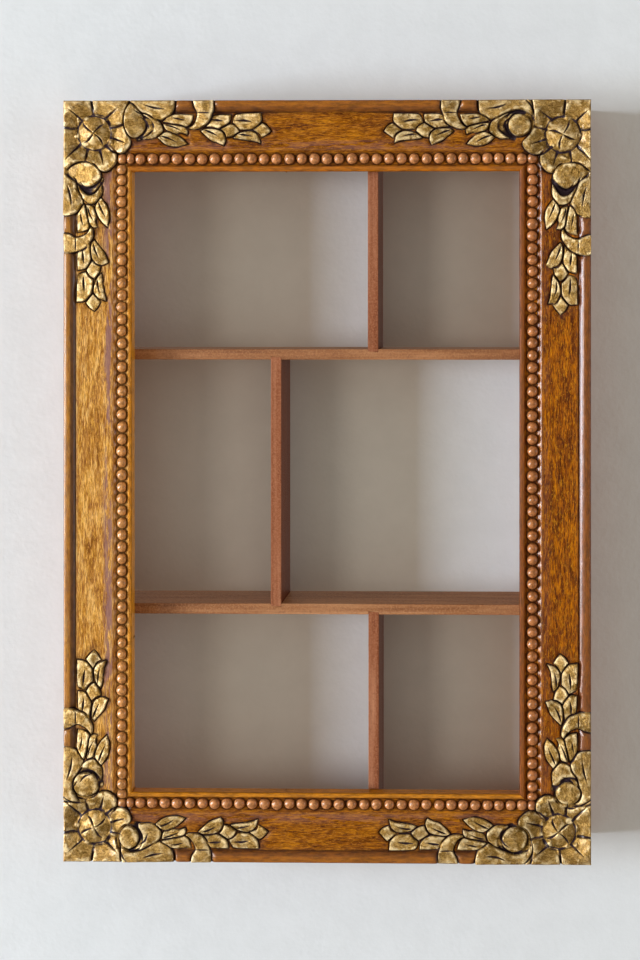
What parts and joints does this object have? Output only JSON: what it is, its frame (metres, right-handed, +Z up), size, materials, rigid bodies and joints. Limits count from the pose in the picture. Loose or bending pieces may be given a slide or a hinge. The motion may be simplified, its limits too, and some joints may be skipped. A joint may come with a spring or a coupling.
{
  "type": "trinket wall shelf",
  "caption": "Open-backed wooden display shelf with a beaded, gilt-carved front frame and cells of mixed size, hung on keyholes.",
  "frame": {"origin": "midway between the round entries of the two hanging keyholes, on the back plane", "axes": "+Y out of the back towards the wall, +Z up, +X to the right as seen from the front"},
  "size_m": [0.4, 0.08, 0.5775],
  "materials": {
    "carved_wood": "satin brown stain with antiqued gold on the carved corners",
    "box_wood": "satin brown stain",
    "shelf_wood": "thin brown stain",
    "zinc_steel": "zinc plated",
    "pin_steel": "bright steel"
  },
  "bodies": {
    "root": {"top_rail": "carved_wood", "bottom_rail": "carved_wood", "left_stile": "carved_wood", "right_stile": "carved_wood", "left_side": "box_wood", "right_side": "box_wood", "top_board": "box_wood", "bottom_board": "box_wood", "upper_shelf": "shelf_wood", "lower_shelf": "shelf_wood", "upper_divider": "shelf_wood", "middle_divider": "shelf_wood", "lower_divider": "shelf_wood", "left_hanger_plate": "zinc_steel", "right_hanger_plate": "zinc_steel", "hanger_screws": "zinc_steel", "box_pins": "pin_steel", "shelf_pins": "pin_steel", "frame_pins": "pin_steel", "mitre_pins": "pin_steel"}
  },
  "joints": []
}
